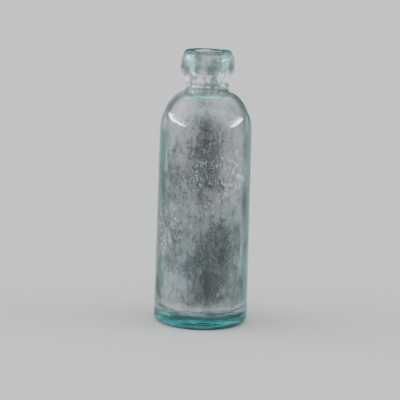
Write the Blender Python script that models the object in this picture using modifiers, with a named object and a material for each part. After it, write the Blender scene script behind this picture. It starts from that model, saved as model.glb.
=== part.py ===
"""A mouth-blown glass soda bottle and the spring stopper that slides in its neck.

The bottle stands on the XY plane, centred on the Z axis. The stopper is at rest in its open, lowered
place, wholly inside the glass; it slides up the Z axis by STOPPER_TRAVEL to seal against the shoulder.
"""

import math

import bmesh
import bpy

MM = 0.001
GAP = 0.3 * MM  # left between pieces that touch on the real object

# Bottle, overall
HEIGHT = 170.2 * MM
BASE_RADIUS = 29.4 * MM
WALL = 4.0 * MM
GLASS_STEPS = 48  # segments round each turned glass piece

# Base and heel
HEEL_RADIUS = 4.0 * MM
BEARING_INNER_RADIUS = 21.5 * MM  # the flat ring that the bottle stands on ends here
PUSH_UP = 2.5 * MM  # rise of the hollow under the base
FLOOR_HEIGHT = 8.5 * MM  # of the inside floor at its edge
FLOOR_CROWN = 1.0 * MM  # rise of the inside floor at its middle
FLOOR_FILLET = 4.0 * MM

# Shoulder
SHOULDER_RADIUS = 28.5 * MM  # where the tapering body meets the shoulder
SHOULDER_FOOT = 121.0 * MM
SHOULDER_TOP = 144.6 * MM
SHOULDER_FULLNESS = 1.75  # exponent of the shoulder's curve: 2 is an ellipse, 1 a straight cone
INNER_FULLNESS = 2.1  # the inside is fuller, so the wall thins to 3 mm over the shoulder
INNER_SHOULDER_RADIUS = 24.9 * MM
COLLAR_RADIUS = 14.0 * MM  # where the shoulder meets the neck

# Neck and bore
NECK_RADIUS = 12.8 * MM
NECK_WAIST = 149.0 * MM  # height where the neck is down to its own radius
BORE_RADIUS = 8.25 * MM
BORE_FOOT = 142.2 * MM
MOUTH_RADIUS = 9.3 * MM
FLARE_FOOT = 158.0 * MM  # the bore opens from here to the mouth
CORE_RADIUS = 11.0 * MM  # the neck's end inside the lip
CORE_TOP = 165.0 * MM

# Lip
LIP_FOOT = 151.2 * MM
LIP_FOOT_RADIUS = 13.0 * MM
LIP_RADIUS = 16.7 * MM
LIP_BELLY = 159.0 * MM  # height of the widest place
LIP_BELT_RADIUS = 16.4 * MM
LIP_BELT_TOP = 163.5 * MM
LIP_LAND_RADIUS = 13.4 * MM  # outer edge of the flat top
LIP_ROLL_FULLNESS = 1.6
MOUTH_ROUND = 1.0 * MM

# Stopper, at its lowered place
STOPPER_TRAVEL = 20.0 * MM
SEAT_HEIGHT = 141.3 * MM  # top of the gasket when the bottle is sealed
GASKET_RADIUS = 11.5 * MM
GASKET_THICKNESS = 5.0 * MM
GASKET_ROUND = 1.2 * MM
PLATE_RADIUS = 7.4 * MM
PLATE_THICKNESS = 1.2 * MM
PLATE_RIM = 0.9 * MM  # how far each plate's dished rim stands off the rubber
WASHER_RADIUS = 4.6 * MM
WASHER_THICKNESS = 0.9 * MM
STEM_RADIUS = 2.0 * MM
STEM_HEAD_RADIUS = 3.2 * MM
STEM_HEAD_HEIGHT = 6.0 * MM
STEM_FOOT_RADIUS = 3.6 * MM
STEM_FOOT_HEIGHT = 1.4 * MM
HOLE_RADIUS = STEM_RADIUS + GAP
EYE_HEIGHT = 3.4 * MM  # of the wire's hole above the bottom of the stem's head
METAL_STEPS = 32

# Spring loop
WIRE_RADIUS = 1.1 * MM
EYE_RADIUS = WIRE_RADIUS + GAP
LOOP_REACH = 6.75 * MM  # from the axis to the wire's middle, where the loop is widest
LOOP_PINCH = 3.3 * MM
LOOP_HEIGHT = 39.2 * MM  # from the eye up to the middle of the wire at the top
WIRE_STEP = 1.8 * MM


def clear_scene():
    for old in list(bpy.data.objects):
        bpy.data.objects.remove(old, do_unlink=True)


def new_collection(name):
    collection = bpy.data.collections.new(name)
    bpy.context.scene.collection.children.link(collection)
    return collection


def new_material(name, color, roughness, metallic=0.0, transmission=0.0):
    material = bpy.data.materials.new(name)
    material.use_nodes = True
    shader = material.node_tree.nodes["Principled BSDF"]
    shader.inputs["Base Color"].default_value = (*color, 1.0)
    shader.inputs["Roughness"].default_value = roughness
    shader.inputs["Metallic"].default_value = metallic
    shader.inputs["Transmission Weight"].default_value = transmission
    return material


def quarter(centre, width, height, fullness, steps, upward):
    """A quarter of a rounded curve about centre (radius, height), from its side to its top or back."""
    points = []
    for step in range(steps + 1):
        angle = math.pi / 2 * step / steps
        across = math.cos(angle) ** (2 / fullness)
        along = math.sin(angle) ** (2 / fullness)
        points.append((centre[0] + width * across, centre[1] + height * along))
    return points if upward else points[::-1]


def turned(name, outline, closed, steps, material, collection):
    """A turned piece: the outline, in (radius, height) and down its outer side, spun about Z."""
    mesh = bpy.data.meshes.new(name)
    edges = [(i, i + 1) for i in range(len(outline) - 1)]
    if closed:
        edges.append((len(outline) - 1, 0))
    mesh.from_pydata([(radius, 0, height) for radius, height in outline], edges, [])
    mesh.materials.append(material)
    piece = bpy.data.objects.new(name, mesh)
    collection.objects.link(piece)
    screw = piece.modifiers.new("Spin", "SCREW")
    screw.axis = "Z"
    screw.angle = 2 * math.pi
    screw.steps = steps
    screw.render_steps = steps
    screw.use_merge_vertices = True
    screw.merge_threshold = 0.00001
    screw.use_smooth_shade = True
    return piece


def bore_radius(height):
    """The bore is straight, then opens evenly to the mouth."""
    opening = (height - FLARE_FOOT) / (HEIGHT - MOUTH_ROUND - FLARE_FOOT)
    return BORE_RADIUS + (MOUTH_RADIUS - BORE_RADIUS) * max(0.0, opening)


def body_inside():
    """From the middle of the inside floor up to the top of the neck."""
    wall_radius = BASE_RADIUS - WALL
    flat_end = wall_radius - FLOOR_FILLET
    outline = []
    floor_steps = 4
    for step in range(floor_steps):
        share = step / floor_steps
        outline.append((flat_end * share, FLOOR_HEIGHT + FLOOR_CROWN * (1 - share * share)))
    fillet = quarter((flat_end, FLOOR_HEIGHT + FLOOR_FILLET), FLOOR_FILLET, -FLOOR_FILLET, 2, 5, False)
    outline += fillet
    outline += quarter(
        (BORE_RADIUS, SHOULDER_FOOT),
        INNER_SHOULDER_RADIUS - BORE_RADIUS,
        BORE_FOOT - SHOULDER_FOOT,
        INNER_FULLNESS,
        11,
        True,
    )
    outline.append((BORE_RADIUS, FLARE_FOOT))
    outline.append((bore_radius(CORE_TOP), CORE_TOP))
    return outline


def body_outside():
    """From the neck's end inside the lip down to the middle of the base."""
    outline = [(CORE_RADIUS, CORE_TOP), (CORE_RADIUS, LIP_FOOT), (NECK_RADIUS, LIP_FOOT)]
    outline += [(NECK_RADIUS, NECK_WAIST), ((NECK_RADIUS + COLLAR_RADIUS) / 2, NECK_WAIST - 1.6 * MM)]
    outline += quarter(
        (COLLAR_RADIUS, SHOULDER_FOOT),
        SHOULDER_RADIUS - COLLAR_RADIUS,
        SHOULDER_TOP - SHOULDER_FOOT,
        SHOULDER_FULLNESS,
        14,
        False,
    )
    heel_centre = (BASE_RADIUS - HEEL_RADIUS, HEEL_RADIUS)
    outline += quarter(heel_centre, HEEL_RADIUS, -HEEL_RADIUS, 2, 5, True)
    push_up_steps = 4
    for step in range(push_up_steps):
        share = 1 - step / push_up_steps
        outline.append((BEARING_INNER_RADIUS * share, PUSH_UP * (1 - share * share)))
    outline.append((0, PUSH_UP))
    return outline


def lip_outline():
    """The lip's section, closed: over the mouth and down the outside, then back up round the neck's end."""
    mouth = quarter(
        (MOUTH_RADIUS + MOUTH_ROUND, HEIGHT - MOUTH_ROUND), -MOUTH_ROUND, MOUTH_ROUND, 2, 4, True
    )
    roll = quarter(
        (LIP_LAND_RADIUS, LIP_BELT_TOP),
        LIP_BELT_RADIUS - LIP_LAND_RADIUS,
        HEIGHT - LIP_BELT_TOP,
        LIP_ROLL_FULLNESS,
        7,
        False,
    )
    belly = [
        (LIP_RADIUS, LIP_BELLY + 0.8 * MM),
        (LIP_RADIUS, LIP_BELLY - 0.8 * MM),
        (LIP_RADIUS - 0.6 * MM, LIP_BELLY - 2.2 * MM),
    ]
    foot = [
        (LIP_FOOT_RADIUS + 0.5 * MM, LIP_FOOT + 2.0 * MM),
        (LIP_FOOT_RADIUS, LIP_FOOT + 1.0 * MM),
        (LIP_FOOT_RADIUS, LIP_FOOT + GAP),
        (CORE_RADIUS + GAP, LIP_FOOT + GAP),
        (CORE_RADIUS + GAP, CORE_TOP + GAP),
        (bore_radius(CORE_TOP + GAP), CORE_TOP + GAP),
    ]
    return mouth + roll + belly + foot


def disc_outline(bottom, top, radius, hole, edge_round):
    """A washer's section with rounded outer edges."""
    top_edge = quarter((radius - edge_round, top - edge_round), edge_round, edge_round, 2, 3, False)
    low_edge = quarter((radius - edge_round, bottom + edge_round), edge_round, -edge_round, 2, 3, True)
    return [(hole, top)] + top_edge + low_edge + [(hole, bottom)]


def plate_outline(face, away):
    """A plate dished off the rubber at its rim. Its flat face is at face, and away is +1 or -1."""
    flat_end = PLATE_RADIUS - 2.2 * MM
    near = [(HOLE_RADIUS, face), (flat_end, face), (PLATE_RADIUS, face + away * PLATE_RIM)]
    far = [
        (PLATE_RADIUS, face + away * (PLATE_RIM + PLATE_THICKNESS)),
        (flat_end, face + away * PLATE_THICKNESS),
        (HOLE_RADIUS, face + away * PLATE_THICKNESS),
    ]
    return (near + far)[::-1] if away > 0 else near + far


def cylinder_mesh(name, radius, height, segments):
    shape = bmesh.new()
    bmesh.ops.create_cone(
        shape, cap_ends=True, segments=segments, radius1=radius, radius2=radius, depth=height
    )
    mesh = bpy.data.meshes.new(name)
    shape.to_mesh(mesh)
    shape.free()
    return mesh


def smooth_route(route, step):
    """Points about a step apart on the smooth curve through the route's own points."""
    points = []
    last = len(route) - 1
    for i in range(last):
        before = route[max(i - 1, 0)]
        start, end = route[i], route[i + 1]
        after = route[min(i + 2, last)]
        count = max(1, round(math.dist(start, end) / step))
        for k in range(count):
            t = k / count
            point = []
            for a, b, c, d in zip(before, start, end, after):
                bend = 2 * b + (c - a) * t + (2 * a - 5 * b + 4 * c - d) * t * t
                point.append((bend + (3 * b - a - 3 * c + d) * t * t * t) / 2)
            points.append(tuple(point))
    points.append(route[last])
    return points


def loop_route(eye):
    """The wire's middle line in the YZ plane: out of the eye, up one side, over the top and down again."""
    half = [
        (0.5 * MM, eye),
        (3.4 * MM, eye),
        (5.2 * MM, eye + 0.9 * MM),
        (6.1 * MM, eye + 3.0 * MM),
        (LOOP_REACH, eye + 8.5 * MM),
        (5.3 * MM, eye + 14.5 * MM),
        (LOOP_PINCH, eye + 20.0 * MM),
        (5.0 * MM, eye + 26.0 * MM),
        (LOOP_REACH, eye + 32.0 * MM),
        (5.0 * MM, eye + 37.0 * MM),
    ]
    back = [(-across, height) for across, height in reversed(half)]
    route = half + [(0.0, eye + LOOP_HEIGHT)] + back
    return smooth_route([(0.0, across, height) for across, height in route], WIRE_STEP)


def make_wire(name, points, radius, material, collection, parent):
    curve = bpy.data.curves.new(name, "CURVE")
    curve.dimensions = "3D"
    curve.bevel_depth = radius
    curve.bevel_resolution = 2
    curve.use_fill_caps = True
    spline = curve.splines.new("POLY")
    spline.points.add(len(points) - 1)
    for knot, place in zip(spline.points, points):
        knot.co = (place[0], place[1], place[2] - parent.location.z, 1)
    curve.materials.append(material)
    wire = bpy.data.objects.new(name, curve)
    collection.objects.link(wire)
    wire.parent = parent
    return wire


def make_bottle(parts):
    glass = new_material("aqua_glass", (0.62, 0.86, 0.83), 0.06, transmission=0.9)
    turned("bottle_body", body_inside() + body_outside(), False, GLASS_STEPS, glass, parts)
    lip_glass = new_material("lip_glass", (0.66, 0.88, 0.85), 0.05, transmission=0.9)
    turned("applied_lip", lip_outline(), True, GLASS_STEPS, lip_glass, parts)


def make_stopper(parts, cutters):
    gasket_top = SEAT_HEIGHT - STOPPER_TRAVEL
    gasket_foot = gasket_top - GASKET_THICKNESS
    slide = bpy.data.objects.new("stopper_slide", None)
    slide.location = (0, 0, gasket_top)
    parts.objects.link(slide)

    def ride(piece):
        piece.parent = slide
        piece.location = (0, 0, -gasket_top)
        return piece

    rubber = new_material("rubber", (0.05, 0.045, 0.04), 0.8)
    gasket = disc_outline(gasket_foot, gasket_top, GASKET_RADIUS, HOLE_RADIUS, GASKET_ROUND)
    ride(turned("gasket", gasket, True, METAL_STEPS, rubber, parts))

    plate = new_material("tinned_plate", (0.46, 0.45, 0.43), 0.45, metallic=1.0)
    upper_face = gasket_top + GAP
    lower_face = gasket_foot - GAP
    ride(turned("upper_plate", plate_outline(upper_face, 1), True, METAL_STEPS, plate, parts))
    ride(turned("lower_plate", plate_outline(lower_face, -1), True, METAL_STEPS, plate, parts))

    washer_metal = new_material("washer_metal", (0.50, 0.42, 0.28), 0.45, metallic=1.0)
    washer_top = lower_face - PLATE_THICKNESS - GAP
    washer_foot = washer_top - WASHER_THICKNESS
    washer = disc_outline(washer_foot, washer_top, WASHER_RADIUS, HOLE_RADIUS, 0.25 * MM)
    ride(turned("clench_washer", washer, True, METAL_STEPS, washer_metal, parts))

    head_foot = upper_face + PLATE_THICKNESS + GAP
    head_top = head_foot + STEM_HEAD_HEIGHT
    rivet_top = washer_foot - GAP
    outline = [(0, head_top)]
    outline += quarter(
        (STEM_HEAD_RADIUS - 0.8 * MM, head_top - 0.8 * MM), 0.8 * MM, 0.8 * MM, 2, 3, False
    )
    outline += [(STEM_HEAD_RADIUS, head_foot), (STEM_RADIUS, head_foot), (STEM_RADIUS, rivet_top)]
    outline += quarter((0, rivet_top), STEM_FOOT_RADIUS, -STEM_FOOT_HEIGHT, 2, 5, True)
    stem_metal = new_material("stem_metal", (0.52, 0.43, 0.28), 0.4, metallic=1.0)
    stem = ride(turned("stopper_stem", outline, False, METAL_STEPS, stem_metal, parts))

    eye = head_foot + EYE_HEIGHT
    drill_mesh = cylinder_mesh("eye_drill", EYE_RADIUS, 4 * STEM_HEAD_RADIUS, 20)
    drill = bpy.data.objects.new("eye_drill", drill_mesh)
    drill.location = (0, 0, eye)
    drill.rotation_euler = (math.pi / 2, 0, 0)
    drill.hide_render = True
    drill.display_type = "WIRE"
    cutters.objects.link(drill)
    cut = stem.modifiers.new("Eye", "BOOLEAN")
    cut.operation = "DIFFERENCE"
    cut.object = drill

    wire = new_material("spring_wire", (0.42, 0.40, 0.37), 0.5, metallic=1.0)
    make_wire("spring_loop", loop_route(eye), WIRE_RADIUS, wire, parts, slide)


clear_scene()
bottle_parts = new_collection("soda_bottle")
cutter_parts = new_collection("soda_bottle_cutters")
make_bottle(bottle_parts)
make_stopper(bottle_parts, cutter_parts)
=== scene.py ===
import math

import bmesh
import bpy
from mathutils import Matrix, Vector


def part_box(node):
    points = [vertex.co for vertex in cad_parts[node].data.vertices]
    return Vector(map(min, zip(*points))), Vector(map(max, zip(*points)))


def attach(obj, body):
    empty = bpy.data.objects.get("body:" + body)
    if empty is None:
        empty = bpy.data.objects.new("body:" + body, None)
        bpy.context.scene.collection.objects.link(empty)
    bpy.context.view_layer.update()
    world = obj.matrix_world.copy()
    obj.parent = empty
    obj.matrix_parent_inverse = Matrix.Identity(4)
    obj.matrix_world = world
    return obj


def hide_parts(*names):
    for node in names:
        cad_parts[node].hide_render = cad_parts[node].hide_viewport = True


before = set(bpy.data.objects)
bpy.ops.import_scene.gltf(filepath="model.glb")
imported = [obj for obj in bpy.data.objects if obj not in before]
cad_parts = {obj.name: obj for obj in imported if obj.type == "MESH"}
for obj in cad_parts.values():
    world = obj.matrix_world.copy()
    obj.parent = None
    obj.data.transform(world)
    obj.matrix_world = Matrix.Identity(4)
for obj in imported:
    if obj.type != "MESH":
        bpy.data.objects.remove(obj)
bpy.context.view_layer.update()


# --- Studio ------------------------------------------------------------------------------------------
# A pale table top against a plain pale backdrop. The light comes from a dim, even room that is brighter
# at its sides, in front and at the ceiling, with two long level lamps low at its sides. The glass
# reflects and bends the room, while the camera itself sees the plain backdrop.

MM = 0.001
EYE_DISTANCE = 1.1
EYE_TILT = math.radians(10.3)
EYE_ROLL = math.radians(1.73)
LENS = 158.9
SUBJECT = Vector((0.0, 0.0, 0.0834))
AIM = Vector((-0.0023, -0.0012, 0.0768))
ROOM_COLOR = (0.97, 0.99, 1.0, 1)
ROOM_LIGHT = 0.14
SIDE_LIGHT = 0.33
FRONT_LIGHT = 0.30
BACKDROP_LIGHT = 0.94
CEILING_LIGHT = 2.0
LAMP_LIGHT = 62.0
LAMP_HALF = 0.018
LAMP_EDGE = 0.035
LAMP_FADE = 0.55
LEFT_LAMP = {"start": -0.95, "end": 0.80, "height": 0.275}
RIGHT_LAMP = {"start": -0.65, "end": 0.58, "height": 0.258}
TABLE_SIZE = 8.0
TABLE_COLOR = (0.47, 0.47, 0.47, 1)


def add_node(tree, kind, settings=None, **feeds):
    """Adds a node. Feeds are its sockets by name, with _ for a space, each a value or a socket."""
    made = tree.nodes.new(kind)
    for key, value in (settings or {}).items():
        setattr(made, key, value)
    for key, value in feeds.items():
        socket = made.inputs[key.replace("_", " ")]
        if isinstance(value, bpy.types.NodeSocket):
            tree.links.new(value, socket)
        else:
            socket.default_value = value
    return made


def calculate(tree, operation, *values, clamp=False):
    """The result of one Math node, fed with values or sockets in turn."""
    made = add_node(tree, "ShaderNodeMath", {"operation": operation, "use_clamp": clamp})
    for socket, value in zip(made.inputs, values):
        if isinstance(value, bpy.types.NodeSocket):
            tree.links.new(value, socket)
        else:
            socket.default_value = value
    return made.outputs["Value"]


def eased(tree, value, low, high, bottom=0.0, top=1.0):
    """The value eased from bottom, where it is low, to top, where it is high."""
    made = add_node(
        tree, "ShaderNodeMapRange", {"interpolation_type": "SMOOTHSTEP"},
        Value=value, From_Min=low, From_Max=high, To_Min=bottom, To_Max=top,
    )
    return made.outputs["Result"]


def axes_of(tree, vector):
    """The vector's X, Y and Z."""
    split = add_node(tree, "ShaderNodeSeparateXYZ", Vector=vector)
    return split.outputs["X"], split.outputs["Y"], split.outputs["Z"]


def lamp_mask(tree, aside, along, up, start, end, height):
    """A straight level lamp one metre aside: where it starts and ends along the room, and its height."""
    aside = calculate(tree, "MAXIMUM", aside, 0.001)
    reach = calculate(tree, "DIVIDE", along, aside)
    rise = calculate(tree, "DIVIDE", up, aside)
    from_middle = calculate(tree, "ABSOLUTE", calculate(tree, "SUBTRACT", reach, (start + end) / 2))
    off_line = calculate(tree, "ABSOLUTE", calculate(tree, "SUBTRACT", rise, height))
    half = (end - start) / 2
    ends = eased(tree, from_middle, half - LAMP_FADE, half, 1.0, 0.0)
    sides = eased(tree, off_line, LAMP_HALF, LAMP_HALF + LAMP_EDGE, 1.0, 0.0)
    return calculate(tree, "MULTIPLY", ends, sides)


def new_material(name):
    """A material, its node tree and its Principled shader."""
    paint = bpy.data.materials.new(name)
    paint.use_nodes = True
    return paint, paint.node_tree, paint.node_tree.nodes["Principled BSDF"]


camera_data = bpy.data.cameras.new("camera")
camera_data.lens = LENS
camera = bpy.data.objects.new("camera", camera_data)
bpy.context.scene.collection.objects.link(camera)
level_look = Vector((0, math.cos(EYE_TILT), -math.sin(EYE_TILT)))
camera.location = SUBJECT - level_look * EYE_DISTANCE
facing = (AIM - camera.location).to_track_quat("-Z", "Y").to_matrix().to_4x4()
camera.matrix_world = Matrix.Translation(camera.location) @ facing @ Matrix.Rotation(EYE_ROLL, 4, "Z")
bpy.context.scene.camera = camera

world = bpy.data.worlds.new("studio")
bpy.context.scene.world = world
world.use_nodes = True
room = world.node_tree
side, depth, up = axes_of(room, add_node(room, "ShaderNodeTexCoord").outputs["Generated"])
left_lamp = lamp_mask(room, calculate(room, "MULTIPLY", side, -1.0), depth, up, **LEFT_LAMP)
right_lamp = lamp_mask(room, side, depth, up, **RIGHT_LAMP)
lamps = calculate(room, "MULTIPLY", calculate(room, "ADD", left_lamp, right_lamp), LAMP_LIGHT)
sides = eased(room, calculate(room, "ABSOLUTE", side), 0.35, 1.0, 0.0, SIDE_LIGHT)
ceiling = eased(room, up, 0.25, 1.0, 0.0, CEILING_LIGHT)
front = eased(room, calculate(room, "MULTIPLY", depth, -1.0), 0.1, 0.9, 0.0, FRONT_LIGHT)
around_and_above = calculate(room, "ADD", sides, ceiling)
glow = calculate(room, "ADD", around_and_above, calculate(room, "ADD", front, ROOM_LIGHT))
room.nodes["Background"].inputs["Color"].default_value = ROOM_COLOR
seen = add_node(room, "ShaderNodeLightPath").outputs["Is Camera Ray"]
shown = eased(room, seen, 0.0, 1.0, calculate(room, "ADD", glow, lamps), BACKDROP_LIGHT)
room.links.new(shown, room.nodes["Background"].inputs["Strength"])

bpy.ops.object.select_all(action="DESELECT")
bpy.ops.mesh.primitive_plane_add(size=TABLE_SIZE)
table = bpy.context.object
table.name = "table_top"
table_paint, tree, shader = new_material("table_top")
shader.inputs["Base Color"].default_value = TABLE_COLOR
shader.inputs["Roughness"].default_value = 0.9
table.data.materials.append(table_paint)


# --- Bottle glass ------------------------------------------------------------------------------------
# One blown gather of aqua glass, with a second gather laid round the neck and tooled into the lip.
# The mould keeps the outside nearly true and the breath leaves the wall uneven inside. The two
# gathers melt together, so the glass is one continuous piece.

lip_low, lip_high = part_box("applied_lip")
BASE_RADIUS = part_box("bottle_body")[1].x
TOP = lip_high.z
LIP_FOOT = lip_low.z
LIP_RADIUS = lip_high.x
WALL = 4.0 * MM
HEEL_RADIUS = 4.0 * MM
BEARING_RADIUS = 21.5 * MM
PUSH_UP = 2.5 * MM
FLOOR_HEIGHT = 8.5 * MM
FLOOR_CROWN = 1.0 * MM
FLOOR_FILLET = 4.0 * MM
SHOULDER_RADIUS = 28.5 * MM
SHOULDER_FOOT = 121.0 * MM
SHOULDER_TOP = 144.6 * MM
SHOULDER_FULLNESS = 1.75
INNER_FULLNESS = 2.1
INNER_SHOULDER_RADIUS = 24.9 * MM
COLLAR_RADIUS = 14.0 * MM
NECK_RADIUS = 12.8 * MM
NECK_WAIST = 149.0 * MM
LIP_BELLY = 159.0 * MM
LIP_BELT_RADIUS = 16.4 * MM
LIP_BELT_TOP = 163.5 * MM
LIP_LAND = 13.4 * MM
LIP_ROLL_FULLNESS = 1.6
BORE_RADIUS = 8.25 * MM
BORE_FOOT = 142.2 * MM
FLARE_FOOT = 158.0 * MM
MOUTH_RADIUS = 9.3 * MM
MOUTH_ROUND = 1.2 * MM
GLASS_STEPS = 160
GLASS_GAP = 2.0 * MM
WALL_WANDER = 1.7 * MM
LIP_WANDER = 0.9 * MM
SKIN_WANDER = 0.25 * MM
GLASS_IOR = 1.5
GLASS_FACE = (0.97, 0.99, 0.985, 1)
GLASS_EDGE = (0.001, 0.05, 0.045, 1)
AQUA = (0.02, 0.73, 0.735, 1)
AQUA_DENSITY = 64.0
RELIEF = 0.14 * MM


def quarter(centre, width, height, fullness, steps, upward):
    """A quarter of a rounded curve about centre (radius, height), from its side to its top or back."""
    points = []
    for step in range(steps + 1):
        angle = math.pi / 2 * step / steps
        across = math.cos(angle) ** (2 / fullness)
        along = math.sin(angle) ** (2 / fullness)
        points.append((centre[0] + width * across, centre[1] + height * along))
    return points if upward else points[::-1]


def evened(outline, gap):
    """The outline with points added so that no two are further apart than the gap."""
    points = [outline[0]]
    for start, end in zip(outline, outline[1:]):
        count = max(1, math.ceil(math.dist(start, end) / gap))
        for k in range(1, count + 1):
            share = k / count
            points.append(tuple(a + (b - a) * share for a, b in zip(start, end)))
    return points


def select_only(piece):
    """Leaves the piece as the only selected and the active object."""
    bpy.ops.object.select_all(action="DESELECT")
    piece.select_set(True)
    bpy.context.view_layer.objects.active = piece


def spun(name, outline, steps, closed=False):
    """A turned piece: one corner is extruded along the outline (radius, height), then spun about Z."""
    bpy.ops.object.select_all(action="DESELECT")
    start = Vector((outline[0][0], 0, outline[0][1]))
    bpy.ops.mesh.primitive_plane_add(size=MM, location=start)
    piece = bpy.context.object
    piece.name = piece.data.name = name
    bpy.ops.object.transform_apply(location=True, rotation=True, scale=True)
    bpy.ops.object.mode_set(mode="EDIT")
    bpy.ops.mesh.select_mode(type="VERT")
    bpy.ops.mesh.select_all(action="SELECT")
    bpy.ops.mesh.merge(type="CENTER")
    for here, there in zip(outline, outline[1:]):
        step = (there[0] - here[0], 0, there[1] - here[1])
        bpy.ops.mesh.extrude_region_move(TRANSFORM_OT_translate={"value": step})
    if closed:
        shape = bmesh.from_edit_mesh(piece.data)
        for vert in shape.verts:
            vert.select = len(vert.link_edges) == 1
        bmesh.update_edit_mesh(piece.data)
        bpy.ops.mesh.edge_face_add()
    bpy.ops.mesh.select_all(action="SELECT")
    bpy.ops.mesh.spin(steps=steps, angle=2 * math.pi, center=(0, 0, 0), axis=(0, 0, 1))
    bpy.ops.mesh.select_all(action="SELECT")
    bpy.ops.mesh.remove_doubles(threshold=0.005 * MM)
    bpy.ops.mesh.normals_make_consistent(inside=False)
    bpy.ops.object.mode_set(mode="OBJECT")
    bpy.ops.object.shade_smooth()
    return piece


def wander(piece, name, chosen, strength, size):
    """Moves the chosen corners in and out of the surface by a slow, cloudy amount."""
    group = piece.vertex_groups.new(name=name)
    group.add([vert.index for vert in piece.data.vertices if chosen(vert)], 1.0, "REPLACE")
    clouds = bpy.data.textures.new(name, "CLOUDS")
    clouds.noise_scale = size
    push = piece.modifiers.new(name, "DISPLACE")
    push.texture = clouds
    push.texture_coords = "LOCAL"
    push.vertex_group = name
    push.mid_level = 0.5
    push.strength = strength
    select_only(piece)
    bpy.ops.object.modifier_apply(modifier=name)


def mixed(tree, factor, first, second):
    """The first colour where the factor is 0, the second where it is 1."""
    made = add_node(tree, "ShaderNodeMix", {"data_type": "RGBA"})
    for index, value in ((0, factor), (6, first), (7, second)):
        if isinstance(value, bpy.types.NodeSocket):
            tree.links.new(value, made.inputs[index])
        else:
            made.inputs[index].default_value = value
    return made.outputs[2]


def cloud_group():
    """A noise on object coordinates as a mask, drawn out along Z where Stretch is under 1."""
    group = bpy.data.node_groups.new("cloud_mask", "ShaderNodeTree")
    for name, start in (
        ("Scale", 100.0), ("Stretch", 1.0), ("Detail", 3.0), ("Roughness", 0.5),
        ("Low", 0.4), ("High", 0.6), ("Offset", 0.0),
    ):
        socket = group.interface.new_socket(name, in_out="INPUT", socket_type="NodeSocketFloat")
        socket.default_value = start
    group.interface.new_socket("Mask", in_out="OUTPUT", socket_type="NodeSocketFloat")
    given = group.nodes.new("NodeGroupInput")
    result = group.nodes.new("NodeGroupOutput")
    coords = add_node(group, "ShaderNodeTexCoord").outputs["Object"]
    squash = add_node(group, "ShaderNodeCombineXYZ", X=1.0, Y=1.0, Z=given.outputs["Stretch"])
    shift = add_node(group, "ShaderNodeCombineXYZ", X=given.outputs["Offset"], Z=given.outputs["Offset"])
    place = add_node(
        group, "ShaderNodeMapping", Vector=coords,
        Location=shift.outputs["Vector"], Scale=squash.outputs["Vector"],
    )
    noise = add_node(
        group, "ShaderNodeTexNoise", Vector=place.outputs["Vector"], Scale=given.outputs["Scale"],
        Detail=given.outputs["Detail"], Roughness=given.outputs["Roughness"],
    )
    mask = eased(group, noise.outputs["Fac"], given.outputs["Low"], given.outputs["High"])
    group.links.new(mask, result.inputs["Mask"])
    return group


cloud_mask = cloud_group()


def cloud(tree, scale, stretch, detail, roughness, low, high, offset):
    """A cloud_mask in the tree, and its mask: 0 where the noise is under low, 1 where it is over high."""
    made = add_node(
        tree, "ShaderNodeGroup", {"node_tree": cloud_mask}, Scale=scale, Stretch=stretch,
        Detail=detail, Roughness=roughness, Low=low, High=high, Offset=offset,
    )
    return made.outputs["Mask"]


def faces_inward(normal, centre):
    """True where a surface looks towards the axis, as the inside of the wall does."""
    return normal.x * centre.x + normal.y * centre.y < 0


inside = [(0, FLOOR_HEIGHT + FLOOR_CROWN)]
floor_edge = BASE_RADIUS - WALL - FLOOR_FILLET
floor_steps = 8
for step in range(1, floor_steps):
    share = step / floor_steps
    inside.append((floor_edge * share, FLOOR_HEIGHT + FLOOR_CROWN * (1 - share * share)))
fillet_centre = (floor_edge, FLOOR_HEIGHT + FLOOR_FILLET)
inside += quarter(fillet_centre, FLOOR_FILLET, -FLOOR_FILLET, 2, 10, False)
inside += quarter(
    (BORE_RADIUS, SHOULDER_FOOT), INNER_SHOULDER_RADIUS - BORE_RADIUS, BORE_FOOT - SHOULDER_FOOT,
    INNER_FULLNESS, 20, True,
)
inside += [(BORE_RADIUS, FLARE_FOOT), (MOUTH_RADIUS, TOP - MOUTH_ROUND)]
mouth = quarter((MOUTH_RADIUS + MOUTH_ROUND, TOP - MOUTH_ROUND), -MOUTH_ROUND, MOUTH_ROUND, 2, 6, True)
roll = quarter(
    (LIP_LAND, LIP_BELT_TOP), LIP_BELT_RADIUS - LIP_LAND, TOP - LIP_BELT_TOP,
    LIP_ROLL_FULLNESS, 12, False,
)
lip_side = [
    (LIP_RADIUS, LIP_BELLY + 0.8 * MM),
    (LIP_RADIUS, LIP_BELLY - 0.8 * MM),
    (LIP_RADIUS - 0.6 * MM, LIP_BELLY - 2.2 * MM),
    (13.4 * MM, LIP_FOOT + 1.8 * MM),
    (13.1 * MM, LIP_FOOT + 0.8 * MM),
    (12.9 * MM, LIP_FOOT),
]
neck = [
    (NECK_RADIUS, NECK_WAIST + 1.1 * MM),
    (13.3 * MM, NECK_WAIST + 0.5 * MM),
    (13.6 * MM, NECK_WAIST - 0.1 * MM),
    (13.45 * MM, NECK_WAIST - 0.8 * MM),
    (12.9 * MM, NECK_WAIST - 1.5 * MM),
    (12.95 * MM, NECK_WAIST - 2.0 * MM),
    (13.6 * MM, NECK_WAIST - 2.7 * MM),
    (13.8 * MM, NECK_WAIST - 3.4 * MM),
]
shoulder = quarter(
    (COLLAR_RADIUS, SHOULDER_FOOT), SHOULDER_RADIUS - COLLAR_RADIUS, SHOULDER_TOP - SHOULDER_FOOT,
    SHOULDER_FULLNESS, 24, False,
)
heel = quarter((BASE_RADIUS - HEEL_RADIUS, HEEL_RADIUS), HEEL_RADIUS, -HEEL_RADIUS, 2, 10, True)
push_up = []
push_up_steps = 10
for step in range(push_up_steps + 1):
    share = 1 - step / push_up_steps
    push_up.append((BEARING_RADIUS * share, PUSH_UP * (1 - share * share)))
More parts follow.
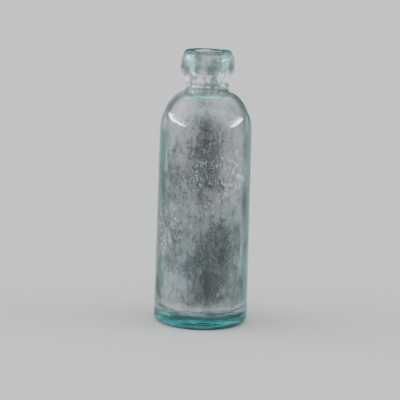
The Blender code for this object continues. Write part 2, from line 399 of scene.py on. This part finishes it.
outline = inside + mouth + roll + lip_side + neck + shoulder + heel + push_up
glass = spun("bottle_glass", evened(outline, GLASS_GAP), GLASS_STEPS)

wander(
    glass, "uneven_wall",
    lambda vert: faces_inward(vert.normal, vert.co) and 12 * MM < vert.co.z < SHOULDER_FOOT,
    WALL_WANDER, 22 * MM,
)
wander(
    glass, "tooled_lip",
    lambda vert: not faces_inward(vert.normal, vert.co) and vert.co.z > LIP_FOOT,
    LIP_WANDER, 13 * MM,
)
wander(
    glass, "mould_skin",
    lambda vert: not faces_inward(vert.normal, vert.co) and 10 * MM < vert.co.z < NECK_WAIST,
    SKIN_WANDER, 16 * MM,
)

glass_paint, tree, shader = new_material("aqua_glass")
height = axes_of(tree, add_node(tree, "ShaderNodeTexCoord").outputs["Object"])[2]
edge_on = add_node(tree, "ShaderNodeLayerWeight", Blend=0.5).outputs["Facing"]
edge_tint_and_lit_shoulder = eased(tree, edge_on, 0.30, 0.54)
# The green edge tint is eased off on the shoulder: painted light, the shoulder's top kept pale where
# light falls on it.
tint_off_lit_shoulder = eased(tree, height, 120 * MM, 136 * MM, 1.0, 0.30)
lip_top_faded = eased(tree, height, 161 * MM, 166 * MM, 1.3, 0.1)
on_lip = calculate(tree, "MULTIPLY", eased(tree, height, 150 * MM, 154 * MM), lip_top_faded)
edge_tint_and_lit_shoulder = calculate(tree, "MULTIPLY", edge_tint_and_lit_shoulder, calculate(tree, "ADD", tint_off_lit_shoulder, on_lip))
glass_color = mixed(tree, edge_tint_and_lit_shoulder, GLASS_FACE, GLASS_EDGE)
tree.links.new(glass_color, shader.inputs["Base Color"])
rubs = cloud(tree, 620, 0.08, 2, 0.6, 0.52, 0.72, 31.0)
tree.links.new(eased(tree, rubs, 0.0, 1.0, 0.02, 0.09), shader.inputs["Roughness"])
ripples = cloud(tree, 110, 0.5, 2, 0.5, 0.25, 0.75, 32.0)
tool_lines = cloud(tree, 38, 14.0, 2, 0.55, 0.30, 0.70, 33.0)
tool_lines = calculate(tree, "MULTIPLY", tool_lines, eased(tree, height, 142 * MM, 147 * MM))
relief = calculate(tree, "ADD", ripples, calculate(tree, "MULTIPLY", tool_lines, 1.4))
bump = add_node(tree, "ShaderNodeBump", Height=relief, Strength=0.5, Distance=RELIEF)
tree.links.new(bump.outputs["Normal"], shader.inputs["Normal"])
shader.inputs["IOR"].default_value = GLASS_IOR
shader.inputs["Transmission Weight"].default_value = 1.0
absorb = tree.nodes.new("ShaderNodeVolumeAbsorption")
absorb.inputs["Color"].default_value = AQUA
absorb.inputs["Density"].default_value = AQUA_DENSITY
tree.links.new(absorb.outputs["Volume"], tree.nodes["Material Output"].inputs["Volume"])
glass.data.materials.append(glass_paint)
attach(glass, "bottle")
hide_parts("bottle_body", "applied_lip")


# --- Milky film --------------------------------------------------------------------------------------
# The chalky stain that years in the ground left on the inside of the wall, in banks, runs and specks
# over darker dirt, with painted light and shade in large patches: paler at the sides, on the shoulder
# and near the floor, darker down the middle. It thins out on the shoulder, round to the back and up the
# neck.

FILM_DEPTH = 0.08 * MM
FILM_FOOT = 6 * MM
FILM_TOP = 168.6 * MM
FLOOR_ZONE = 20 * MM
CHALK_LOW_DOWN = (0.97, 0.61, 0.68, 1)
CHALK_HIGH_UP = (0.84, 0.68, 0.68, 1)
CHALK_NECK = (0.88, 0.76, 0.78, 1)
CHALK_THIN = (0.70, 0.74, 0.76, 1)
SLATE = (0.66, 0.60, 0.80, 1)
# The dark colour: dirt, and the painted shade of the darker patches.
DIRT_AND_SHADE = (0.035, 0.028, 0.028, 1)
# Places of the patches on the front, in millimetres: middle, half sizes, and how much paler (+) or
# darker (-) each one is. They are painted light and shade: the paler ones at the sides and on the
# shoulder stand in for the light of the side lamps, the darker ones down the middle for the shade on
# the front of the film.
FILM_LIGHT_AND_SHADE = (
    ((5, -25, 40), (14, 30, 42), -0.92),
    ((-1, -25, 26), (7, 30, 14), -0.35),
    ((9, -25, 56), (8, 30, 20), -0.35),
    ((19, -16, 46), (13, 30, 36), -0.12),
    ((0, -25, 106), (11, 30, 44), -0.55),
    ((-13, -18, 137), (20, 30, 20), 0.50),
    ((13, -18, 135), (18, 30, 20), 0.50),
    ((-18, -18, 128), (16, 30, 34), 0.42),
    ((18, -18, 110), (14, 30, 50), 0.55),
    ((3, -25, 76), (15, 30, 13), 0.30),
    ((-17, -20, 44), (12, 30, 44), 0.26),
)
# Bluish patches: middle and half sizes.
SLATE_PATCHES = (
    ((-9, -24, 36), (8, 30, 20)),
    ((24, -14, 82), (10, 20, 24)),
    ((-24, -14, 66), (9, 20, 20)),
)


def centred(tree, mask, amount):
    """The mask turned from 0..1 into -amount..amount."""
    return calculate(tree, "MULTIPLY", calculate(tree, "SUBTRACT", mask, 0.5), 2 * amount)


def total(tree, *values):
    """The sum of the values, added one after another."""
    result = values[0]
    for value in values[1:]:
        result = calculate(tree, "ADD", result, value)
    return result


def blot(tree, coords, middle, half_size, core):
    """A soft patch, sizes in millimetres: 1 out to the share core of its half size, 0 at its edge."""
    place = add_node(
        tree, "ShaderNodeMapping", {"vector_type": "POINT"}, Vector=coords,
        Location=tuple(-m / h for m, h in zip(middle, half_size)),
        Scale=tuple(1 / (h * MM) for h in half_size),
    )
    reach = add_node(tree, "ShaderNodeVectorMath", {"operation": "LENGTH"})
    tree.links.new(place.outputs["Vector"], reach.inputs[0])
    return eased(tree, reach.outputs["Value"], core, 1.0, 1.0, 0.0)


def skin_of_glass(name, wanted, depth):
    """A copy of the glass's wanted faces, lifted off it by depth."""
    select_only(glass)
    bpy.ops.object.duplicate()
    skin = bpy.context.object
    skin.name = skin.data.name = name
    skin.data.materials.clear()
    bpy.ops.object.mode_set(mode="EDIT")
    bpy.ops.mesh.select_mode(type="FACE")
    bpy.ops.mesh.select_all(action="DESELECT")
    shape = bmesh.from_edit_mesh(skin.data)
    for face in shape.faces:
        face.select_set(not wanted(face.normal, face.calc_center_median()))
    bmesh.update_edit_mesh(skin.data)
    bpy.ops.mesh.delete(type="FACE")
    bpy.ops.mesh.select_all(action="SELECT")
    bpy.ops.transform.shrink_fatten(value=depth)
    bpy.ops.object.mode_set(mode="OBJECT")
    return skin


def on_inside(normal, centre):
    """True on the inside of the bottle: its floor, its wall and its bore, short of the mouth."""
    radius = math.hypot(centre.x, centre.y)
    on_floor = normal.z > 0.5 and radius < BASE_RADIUS - WALL and centre.z < FLOOR_ZONE
    return FILM_FOOT < centre.z < FILM_TOP and (on_floor or faces_inward(normal, centre))


film = skin_of_glass("milky_film", on_inside, FILM_DEPTH)
film_paint, tree, shader = new_material("milky_film")
shader.inputs["Roughness"].default_value = 0.85
shader.inputs["Specular IOR Level"].default_value = 0.1
coords = add_node(tree, "ShaderNodeTexCoord").outputs["Object"]
depth, height = axes_of(tree, coords)[1:]
banks = centred(tree, cloud(tree, 48, 0.6, 3, 0.55, 0.34, 0.66, 0.3), 0.32)
runs = centred(tree, cloud(tree, 240, 0.12, 3, 0.6, 0.34, 0.66, 1.1), 0.17)
mottles = centred(tree, cloud(tree, 160, 0.7, 4, 0.62, 0.34, 0.66, 2.3), 0.26)
specks = centred(tree, cloud(tree, 800, 0.8, 2, 0.6, 0.30, 0.70, 3.1), 0.22)
stain = total(tree, banks, runs, mottles, specks)
# Painted light and shade, patch by patch.
painted_light_and_shade = 0.0
for middle, half_size, amount in FILM_LIGHT_AND_SHADE:
    patch = blot(tree, coords, middle, half_size, 0.1)
    painted_light_and_shade = calculate(tree, "ADD", painted_light_and_shade, calculate(tree, "MULTIPLY", patch, amount))
thick = eased(tree, height, 134 * MM, 147 * MM, 0.95, 0.55)
clear_patch = blot(tree, coords, (5, -20, 138), (19, 30, 14), 0.3)
thick = calculate(tree, "SUBTRACT", thick, calculate(tree, "MULTIPLY", clear_patch, 0.55))
thick = calculate(tree, "MULTIPLY", thick, eased(tree, depth, -4 * MM, 16 * MM, 1.0, 0.5))
cover = calculate(tree, "ADD", calculate(tree, "MULTIPLY", stain, 0.25), thick, clamp=True)
tree.links.new(cover, shader.inputs["Alpha"])
# Paler near the floor: painted light on the fillet, which faces down and gets little light.
low_down = eased(tree, height, 11 * MM, 20 * MM, 0.35, 0.0)
flecks = cloud(tree, 520, 0.8, 3, 0.6, 0.52, 0.66, 5.9)
on_front = blot(tree, coords, (6, -22, 96), (30, 40, 46), 0.2)
flecks = calculate(tree, "MULTIPLY", flecks, calculate(tree, "MULTIPLY_ADD", on_front, 0.30, 0.12))
tone = total(tree, calculate(tree, "MULTIPLY", stain, 1.05), painted_light_and_shade, low_down, flecks, 0.34)
tone = eased(tree, tone, -0.25, 1.2)
hue = centred(tree, cloud(tree, 70, 0.8, 3, 0.6, 0.36, 0.64, 4.2), 0.3)
hue = calculate(tree, "ADD", hue, eased(tree, height, 40 * MM, 112 * MM, 0.85, 0.1), clamp=True)
chalk = mixed(tree, hue, CHALK_LOW_DOWN, CHALK_HIGH_UP)
chalk = mixed(tree, eased(tree, height, 138 * MM, 150 * MM), chalk, CHALK_NECK)
chalk = mixed(tree, clear_patch, chalk, CHALK_THIN)
for middle, half_size in SLATE_PATCHES:
    patch = blot(tree, coords, middle, half_size, 0.2)
    chalk = mixed(tree, calculate(tree, "MULTIPLY", patch, 0.75), chalk, SLATE)
tree.links.new(mixed(tree, tone, DIRT_AND_SHADE, chalk), shader.inputs["Base Color"])
film.data.materials.append(film_paint)
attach(film, "bottle")


# --- Weathered skin ----------------------------------------------------------------------------------
# The dulled outside of the glass from the heel to the top of the shoulder: a thin grey bloom with
# pits, scratches and bright specks from handling and from the ground, a crust in three places, and a
# faint veil on the shoulder. Round the heel it is painted teal with lighter lines: painted light, the
# glow of light through the thick base glass.

BLOOM_DEPTH = 0.05 * MM
BLOOM_FOOT = 1 * MM
BLOOM = (0.82, 0.82, 0.86, 1)
HEEL_DARK = (0.01, 0.24, 0.26, 1)
HEEL_LIGHT = (0.12, 0.64, 0.60, 1)
# Where the crust sits, in millimetres: its place aside and up, its half height, and its strength.
CRUST_PATCHES = ((17, 96, 30, 0.55), (-20, 60, 28, 0.42), (-2, 104, 14, 0.30))


def on_body_outside(normal, centre):
    """True on the outside of the heel, the body and the shoulder."""
    on_floor = normal.z > 0.3 and centre.z < FLOOR_ZONE
    return BLOOM_FOOT < centre.z < SHOULDER_TOP and not on_floor and not faces_inward(normal, centre)


bloom = skin_of_glass("weathered_skin", on_body_outside, BLOOM_DEPTH)
bloom_paint, tree, shader = new_material("weathered_skin")
shader.inputs["Roughness"].default_value = 0.6
coords = add_node(tree, "ShaderNodeTexCoord").outputs["Object"]
height = axes_of(tree, coords)[2]
# The heel's teal is painted light: the glow of light through the thick base glass, with lighter lines.
heel_lines = cloud(tree, 60, 8.0, 4, 0.65, 0.42, 0.60, 35.0)
heel_glow_teal = mixed(tree, heel_lines, HEEL_DARK, HEEL_LIGHT)
bloom_and_heel_glow = mixed(tree, eased(tree, height, 7 * MM, 13 * MM), heel_glow_teal, BLOOM)
tree.links.new(bloom_and_heel_glow, shader.inputs["Base Color"])
patches = cloud(tree, 60, 0.6, 3, 0.5, 0.38, 0.66, 5.3)
pits = cloud(tree, 900, 0.8, 4, 0.7, 0.54, 0.66, 6.1)
scratches = cloud(tree, 700, 0.06, 2, 0.6, 0.55, 0.72, 7.7)
sparks = cloud(tree, 1000, 1.0, 1, 0.5, 0.66, 0.70, 8.4)
scratched = calculate(tree, "MULTIPLY", scratches, 0.16)
marks = calculate(tree, "MULTIPLY_ADD", pits, 0.26, scratched)
cover = calculate(tree, "MULTIPLY_ADD", patches, 0.03, calculate(tree, "MULTIPLY", marks, patches))
on_front = blot(tree, coords, (0, -28, 90), (32, 40, 52), 0.2)
sparks = calculate(tree, "MULTIPLY", sparks, calculate(tree, "MULTIPLY_ADD", on_front, 0.6, 0.15))
cover = calculate(tree, "ADD", cover, sparks)
crust = cloud(tree, 480, 0.6, 4, 0.68, 0.50, 0.66, 43.0)
for aside, up, half_height, amount in CRUST_PATCHES:
    crusted = blot(tree, coords, (aside, -19, up), (14, 24, half_height), 0.1)
    cover = calculate(tree, "MULTIPLY_ADD", calculate(tree, "MULTIPLY", crust, crusted), amount, cover)
cover = calculate(tree, "MULTIPLY", cover, eased(tree, height, 105 * MM, 128 * MM, 1.0, 0.0))
on_shoulder = eased(tree, height, 112 * MM, 132 * MM)
veil = calculate(tree, "MULTIPLY", on_shoulder, calculate(tree, "MULTIPLY_ADD", patches, 0.20, 0.05))
# The cover of the painted teal glow round the heel.
low_down = eased(tree, height, 12 * MM, 19 * MM, 1.0, 0.0)
heel_glow_cover = calculate(tree, "MULTIPLY", low_down, eased(tree, height, 6 * MM, 11 * MM, 0.19, 0.14))
heel_glow_cover = calculate(tree, "MULTIPLY", heel_glow_cover, calculate(tree, "MULTIPLY_ADD", heel_lines, 1.3, 0.3))
cover = calculate(tree, "MINIMUM", total(tree, cover, veil, heel_glow_cover), 1.0)
tree.links.new(cover, shader.inputs["Alpha"])
bloom.data.materials.append(bloom_paint)
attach(bloom, "bottle")


# --- Lip haze ----------------------------------------------------------------------------------------
# The same weathering on the neck and the lip, which is a wispy white haze: dense on the cone under the
# lip, with two painted highlights there, bright patches standing in for the glow of light under the
# lip; faint on the lip's belly; and a thin white ring round the neck, a painted highlight on its ring.

HAZE_TOP = TOP - 1.5 * MM
HAZE_THIN = (0.84, 0.88, 0.88, 1)
HAZE_DENSE = (0.97, 0.92, 0.95, 1)
CONE_GLOW_ASIDE = 8


def on_lip_outside(normal, centre):
    """True on the outside of the neck and the lip, short of the mouth."""
    return SHOULDER_TOP < centre.z < HAZE_TOP and not faces_inward(normal, centre)


haze = skin_of_glass("lip_haze", on_lip_outside, BLOOM_DEPTH)
haze_paint, tree, shader = new_material("lip_haze")
shader.inputs["Roughness"].default_value = 0.45
coords = add_node(tree, "ShaderNodeTexCoord").outputs["Object"]
height = axes_of(tree, coords)[2]
wisps = cloud(tree, 230, 0.3, 4, 0.6, 0.40, 0.62, 9.1)
dust = cloud(tree, 900, 1.0, 3, 0.7, 0.50, 0.66, 9.7)
tree.links.new(mixed(tree, wisps, HAZE_THIN, HAZE_DENSE), shader.inputs["Base Color"])
on_cone = eased(tree, height, 155 * MM, 161 * MM, 0.62, 0.18)
# Two painted highlights on the cone, left and right: bright patches for the glow of light under the lip.
for aside in (-CONE_GLOW_ASIDE, CONE_GLOW_ASIDE):
    cone_glow = blot(tree, coords, (aside, -12, 155), (4.5, 8, 6), 0.1)
    on_cone = calculate(tree, "MULTIPLY_ADD", cone_glow, 0.5, on_cone)
above_collar = eased(tree, height, 150 * MM, 153 * MM, 0.22, 1.0)
# A painted highlight: a thin white line along the neck ring.
off_ring = calculate(tree, "ABSOLUTE", calculate(tree, "SUBTRACT", height, NECK_WAIST))
ring_highlight = calculate(tree, "MULTIPLY", eased(tree, off_ring, 0.1 * MM, 1.0 * MM, 0.36, 0.0), wisps)
wispy = total(tree, 0.30, calculate(tree, "MULTIPLY", wisps, 1.2), calculate(tree, "MULTIPLY", dust, 0.4))
cover = calculate(tree, "MULTIPLY", calculate(tree, "MULTIPLY", on_cone, above_collar), wispy)
cover = calculate(tree, "ADD", cover, ring_highlight, clamp=True)
tree.links.new(cover, shader.inputs["Alpha"])
haze.data.materials.append(haze_paint)
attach(haze, "bottle")


# --- Spring loop -------------------------------------------------------------------------------------
# Hard-drawn tinned wire bent into the stopper's handle: out of the stem's eye on both sides, up,
# pinched in at the middle so that it springs against the bore, and over the top.

WIRE_RADIUS = 1.1 * MM
WIRE_GAP = 0.45 * MM
# Half of the loop's bends, in millimetres across from its middle and up from the eye.
HALF_LOOP = (
    (0.5, 0.0), (3.4, 0.0), (5.2, 0.9), (6.1, 3.0), (6.75, 8.5), (5.3, 14.5), (3.3, 20.0),
    (5.0, 26.0), (6.75, 32.0), (5.0, 37.0),
)
eye_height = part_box("stopper_stem")[1].z - 2.6 * MM
loop_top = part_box("spring_loop")[1].z - WIRE_RADIUS


def tarnish_group():
    """Old metal: a bright ground, a dull bloom over it in clouds, and rust or verdigris in spots."""
    group = bpy.data.node_groups.new("tarnish", "ShaderNodeTree")
    for name, kind, start in (
        ("Bright", "NodeSocketColor", (0.6, 0.6, 0.6, 1)),
        ("Dull", "NodeSocketColor", (0.3, 0.3, 0.3, 1)),
        ("Spots", "NodeSocketColor", (0.3, 0.1, 0.05, 1)),
        ("Dullness", "NodeSocketFloat", 0.5),
        ("Spotting", "NodeSocketFloat", 0.5),
    ):
        group.interface.new_socket(name, in_out="INPUT", socket_type=kind).default_value = start
    for name, kind in (
        ("Color", "NodeSocketColor"), ("Roughness", "NodeSocketFloat"),
        ("Metallic", "NodeSocketFloat"), ("Height", "NodeSocketFloat"),
    ):
        group.interface.new_socket(name, in_out="OUTPUT", socket_type=kind)
    given = group.nodes.new("NodeGroupInput").outputs
    result = group.nodes.new("NodeGroupOutput").inputs
    clouds = cloud(group, 350, 1.0, 4, 0.6, 0.34, 0.62, 11.0)
    spots = cloud(group, 900, 1.0, 5, 0.7, 0.50, 0.60, 12.0)
    grain = cloud(group, 3200, 1.0, 2, 0.6, 0.3, 0.7, 13.0)
    dulled = calculate(group, "MULTIPLY", clouds, given["Dullness"], clamp=True)
    spotted = calculate(group, "MULTIPLY", spots, given["Spotting"], clamp=True)
    ground = mixed(group, dulled, given["Bright"], given["Dull"])
    group.links.new(mixed(group, spotted, ground, given["Spots"]), result["Color"])
    rough = calculate(group, "MULTIPLY_ADD", dulled, 0.25, 0.28)
    rough = calculate(group, "MULTIPLY_ADD", spotted, 0.4, rough)
    group.links.new(rough, result["Roughness"])
    bare_metal = calculate(group, "MULTIPLY_ADD", spotted, -0.85, 1.0)
    group.links.new(bare_metal, result["Metallic"])
    relief = calculate(group, "MULTIPLY_ADD", spotted, 0.6, calculate(group, "MULTIPLY", grain, 0.4))
    group.links.new(relief, result["Height"])
    return group


tarnish = tarnish_group()


def old_metal(name, bright, dull, spots, dullness, spotting, relief):
    """A tarnished metal's material, from its three colours and how far gone it is."""
    paint, tree, shader = new_material(name)
    age = add_node(
        tree, "ShaderNodeGroup", {"node_tree": tarnish}, Bright=(*bright, 1), Dull=(*dull, 1),
        Spots=(*spots, 1), Dullness=dullness, Spotting=spotting,
    )
    tree.links.new(age.outputs["Color"], shader.inputs["Base Color"])
    tree.links.new(age.outputs["Roughness"], shader.inputs["Roughness"])
    tree.links.new(age.outputs["Metallic"], shader.inputs["Metallic"])
    bump = add_node(tree, "ShaderNodeBump", Height=age.outputs["Height"], Strength=0.6, Distance=relief)
    tree.links.new(bump.outputs["Normal"], shader.inputs["Normal"])
    return paint


def smooth_route(route, step):
    """Points about a step apart on the smooth curve through the route's own points."""
    points = []
    last = len(route) - 1
    for i in range(last):
        before, start, end, after = route[max(i - 1, 0)], route[i], route[i + 1], route[min(i + 2, last)]
        count = max(1, round(math.dist(start, end) / step))
        for k in range(count):
            t = k / count
            point = []
            for a, b, c, d in zip(before, start, end, after):
                bend = 2 * b + (c - a) * t + (2 * a - 5 * b + 4 * c - d) * t * t
                point.append((bend + (3 * b - a - 3 * c + d) * t * t * t) / 2)
            points.append(Vector(point))
    points.append(Vector(route[last]))
    return points


route = [(0.0, across * MM, eye_height + rise * MM) for across, rise in HALF_LOOP]
route.append((0.0, 0.0, loop_top))
route += [(0.0, -across * MM, eye_height + rise * MM) for across, rise in reversed(HALF_LOOP)]
bpy.ops.object.select_all(action="DESELECT")
bpy.ops.curve.primitive_nurbs_path_add()
loop = bpy.context.object
loop.name = loop.data.name = "spring_wire"
loop.data.splines.clear()
wire_line = loop.data.splines.new("POLY")
route_points = smooth_route(route, WIRE_GAP)
wire_line.points.add(len(route_points) - 1)
for knot, place in zip(wire_line.points, route_points):
    knot.co = (*place, 1)
loop.data.bevel_depth = WIRE_RADIUS
loop.data.bevel_resolution = 6
loop.data.use_fill_caps = True
bpy.ops.object.convert(target="MESH")
loop = bpy.context.object
bpy.ops.object.mode_set(mode="EDIT")
bpy.ops.mesh.select_all(action="SELECT")
bpy.ops.mesh.remove_doubles(threshold=0.002 * MM)
bpy.ops.mesh.normals_make_consistent(inside=False)
bpy.ops.object.mode_set(mode="OBJECT")
bpy.ops.object.shade_smooth_by_angle(angle=math.radians(40))
loop.data.materials.clear()
loop.data.materials.append(old_metal(
    "tinned_wire", (0.62, 0.61, 0.58), (0.30, 0.29, 0.27), (0.20, 0.085, 0.035), 0.8, 0.55, 0.05 * MM
))
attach(loop, "stopper")
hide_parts("spring_loop")


# --- Stem --------------------------------------------------------------------------------------------
# A turned brass rivet that holds the stopper together. The wire passes through the eye in its head,
# and its foot is clenched over the washer.

METAL_TURN = 64
GAP = 0.3 * MM
STEM_RADIUS = 2.0 * MM
STEM_HEAD_RADIUS = 3.2 * MM
STEM_HEAD_HEIGHT = 6.0 * MM
STEM_HEAD_ROUND = 0.8 * MM
STEM_FOOT_RADIUS = 3.6 * MM
STEM_FOOT_HEIGHT = 1.4 * MM
EYE_RADIUS = WIRE_RADIUS + GAP
stem_low, stem_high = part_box("stopper_stem")
rivet_top = stem_low.z + STEM_FOOT_HEIGHT
head_foot = stem_high.z - STEM_HEAD_HEIGHT
head_top = quarter(
    (STEM_HEAD_RADIUS - STEM_HEAD_ROUND, stem_high.z - STEM_HEAD_ROUND), STEM_HEAD_ROUND,
    STEM_HEAD_ROUND, 2, 8, False,
)
turned_line = [(STEM_HEAD_RADIUS, head_foot + 0.3 * MM), (STEM_HEAD_RADIUS - 0.3 * MM, head_foot)]
shank = [(STEM_RADIUS, head_foot), (STEM_RADIUS, rivet_top)]
clench = quarter((0, rivet_top), STEM_FOOT_RADIUS, -STEM_FOOT_HEIGHT, 2, 12, True)
stem_outline = [(0, stem_high.z)] + head_top + turned_line + shank + clench
stem = spun("brass_stem", evened(stem_outline, 0.5 * MM), METAL_TURN)

bpy.ops.object.select_all(action="DESELECT")
bpy.ops.mesh.primitive_cylinder_add(
    vertices=48, radius=EYE_RADIUS, depth=4 * STEM_HEAD_RADIUS,
    location=(0, 0, eye_height), rotation=(math.pi / 2, 0, 0),
)
drill = bpy.context.object
select_only(stem)
cut = stem.modifiers.new("eye", "BOOLEAN")
cut.operation = "DIFFERENCE"
cut.object = drill
bpy.ops.object.modifier_apply(modifier="eye")
bpy.data.objects.remove(drill, do_unlink=True)
bpy.ops.object.mode_set(mode="EDIT")
bpy.ops.mesh.select_mode(type="VERT")
bpy.ops.mesh.select_all(action="SELECT")
bpy.ops.mesh.remove_doubles(threshold=0.01 * MM)
bpy.ops.mesh.dissolve_degenerate(threshold=0.005 * MM)
bpy.ops.object.mode_set(mode="OBJECT")
bpy.ops.object.shade_smooth_by_angle(angle=math.radians(35))
stem.data.materials.append(old_metal(
    "tarnished_brass", (0.60, 0.46, 0.24), (0.30, 0.22, 0.12), (0.16, 0.30, 0.24), 0.9, 0.45, 0.05 * MM
))
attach(stem, "stopper")
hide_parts("stopper_stem")


# --- Plates and washer -------------------------------------------------------------------------------
# Two dished discs stamped from tinned iron grip the gasket from above and below, rims turned away
# from it. A small brass washer under them takes the clenched foot of the stem.

PLATE_RADIUS = 7.4 * MM
PLATE_THICKNESS = 1.2 * MM
PLATE_RIM = 0.9 * MM
PLATE_FLAT = PLATE_RADIUS - 2.2 * MM
HOLE_RADIUS = STEM_RADIUS + GAP
EDGE_ROUND = 0.25 * MM


def plate_section(face, away):
    """The section of a dished disc whose flat face is at face; away is +1 or -1, off the rubber."""
    rim = face + away * PLATE_RIM
    back = face + away * PLATE_THICKNESS
    bend_start = PLATE_FLAT - 0.5 * MM
    bend_end = PLATE_FLAT + 0.3 * MM
    bend_rise = away * 0.14 * MM
    rounded = PLATE_RADIUS - EDGE_ROUND
    near = [(HOLE_RADIUS, face), (bend_start, face), (bend_end, face + bend_rise)]
    near.append((rounded, rim - away * 0.06 * MM))
    edge = [(PLATE_RADIUS, rim + away * EDGE_ROUND)]
    edge.append((PLATE_RADIUS, rim + away * (PLATE_THICKNESS - EDGE_ROUND)))
    far = [(rounded, rim + away * PLATE_THICKNESS), (bend_end, back + bend_rise)]
    far += [(bend_start, back), (HOLE_RADIUS, back)]
    return near + edge + far


tin = old_metal(
    "tinned_plate", (0.60, 0.59, 0.56), (0.28, 0.27, 0.25), (0.19, 0.08, 0.035), 0.85, 0.6, 0.05 * MM
)
upper_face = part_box("upper_plate")[0].z
lower_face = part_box("lower_plate")[1].z
for name, node, face, away in (
    ("upper_disc", "upper_plate", upper_face, 1), ("lower_disc", "lower_plate", lower_face, -1),
):
    disc = spun(name, evened(plate_section(face, away), 0.5 * MM), METAL_TURN, closed=True)
    bpy.ops.object.shade_smooth_by_angle(angle=math.radians(50))
    disc.data.materials.append(tin)
    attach(disc, "stopper")
    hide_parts(node)

washer_low, washer_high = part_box("clench_washer")
washer_edge = quarter(
    (washer_high.x - EDGE_ROUND, washer_high.z - EDGE_ROUND), EDGE_ROUND, EDGE_ROUND, 2, 4, False
)
washer_edge += quarter(
    (washer_high.x - EDGE_ROUND, washer_low.z + EDGE_ROUND), EDGE_ROUND, -EDGE_ROUND, 2, 4, True
)
washer_section = [(HOLE_RADIUS, washer_high.z)] + washer_edge + [(HOLE_RADIUS, washer_low.z)]
washer = spun("brass_washer", evened(washer_section, 0.5 * MM), METAL_TURN, closed=True)
bpy.ops.object.shade_smooth_by_angle(angle=math.radians(50))
washer.data.materials.append(old_metal(
    "washer_brass", (0.58, 0.45, 0.25), (0.28, 0.21, 0.12), (0.15, 0.28, 0.22), 0.9, 0.6, 0.05 * MM
))
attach(washer, "stopper")
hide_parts("clench_washer")


# --- Gasket ------------------------------------------------------------------------------------------
# A thick disc of vulcanised rubber that seals against the shoulder. It has aged hard, gone chalky
# grey on the outside and cracked finely, and its edges bulge where the plates grip it.

GASKET_ROUND = 1.2 * MM
GASKET_PINCH = 0.25 * MM
gasket_low, gasket_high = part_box("gasket")
seat = (gasket_high.x - GASKET_ROUND, gasket_high.z - GASKET_ROUND)
gasket_edge = quarter(seat, GASKET_ROUND, GASKET_ROUND, 2, 10, False)
gasket_edge += quarter((seat[0], gasket_low.z + GASKET_ROUND), GASKET_ROUND, -GASKET_ROUND, 2, 10, True)
gasket_section = [(HOLE_RADIUS, gasket_high.z - GASKET_PINCH), (PLATE_FLAT, gasket_high.z - GASKET_PINCH)]
gasket_section += [(PLATE_RADIUS + 0.6 * MM, gasket_high.z)] + gasket_edge
gasket_section += [(PLATE_RADIUS + 0.6 * MM, gasket_low.z), (PLATE_FLAT, gasket_low.z + GASKET_PINCH)]
gasket_section += [(HOLE_RADIUS, gasket_low.z + GASKET_PINCH)]
gasket = spun("rubber_gasket", evened(gasket_section, 0.5 * MM), 96, closed=True)
bpy.ops.object.shade_smooth_by_angle(angle=math.radians(50))
wander(
    gasket, "aged_edge",
    lambda vert: math.hypot(vert.co.x, vert.co.y) > PLATE_RADIUS,
    0.25 * MM, 4 * MM,
)
rubber, tree, shader = new_material("aged_rubber")
chalkiness = cloud(tree, 260, 1.0, 5, 0.65, 0.36, 0.62, 21.0)
cracks = cloud(tree, 1500, 1.0, 6, 0.8, 0.50, 0.56, 22.0)
grit = cloud(tree, 2600, 1.0, 2, 0.6, 0.3, 0.7, 23.0)
ground = mixed(tree, chalkiness, (0.045, 0.040, 0.036, 1), (0.20, 0.185, 0.17, 1))
tree.links.new(mixed(tree, cracks, ground, (0.02, 0.018, 0.016, 1)), shader.inputs["Base Color"])
tree.links.new(eased(tree, chalkiness, 0.0, 1.0, 0.62, 0.92), shader.inputs["Roughness"])
relief = calculate(tree, "SUBTRACT", calculate(tree, "MULTIPLY", grit, 0.3), cracks)
bump = add_node(tree, "ShaderNodeBump", Height=relief, Strength=0.7, Distance=0.08 * MM)
tree.links.new(bump.outputs["Normal"], shader.inputs["Normal"])
gasket.data.materials.append(rubber)
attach(gasket, "stopper")
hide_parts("gasket")
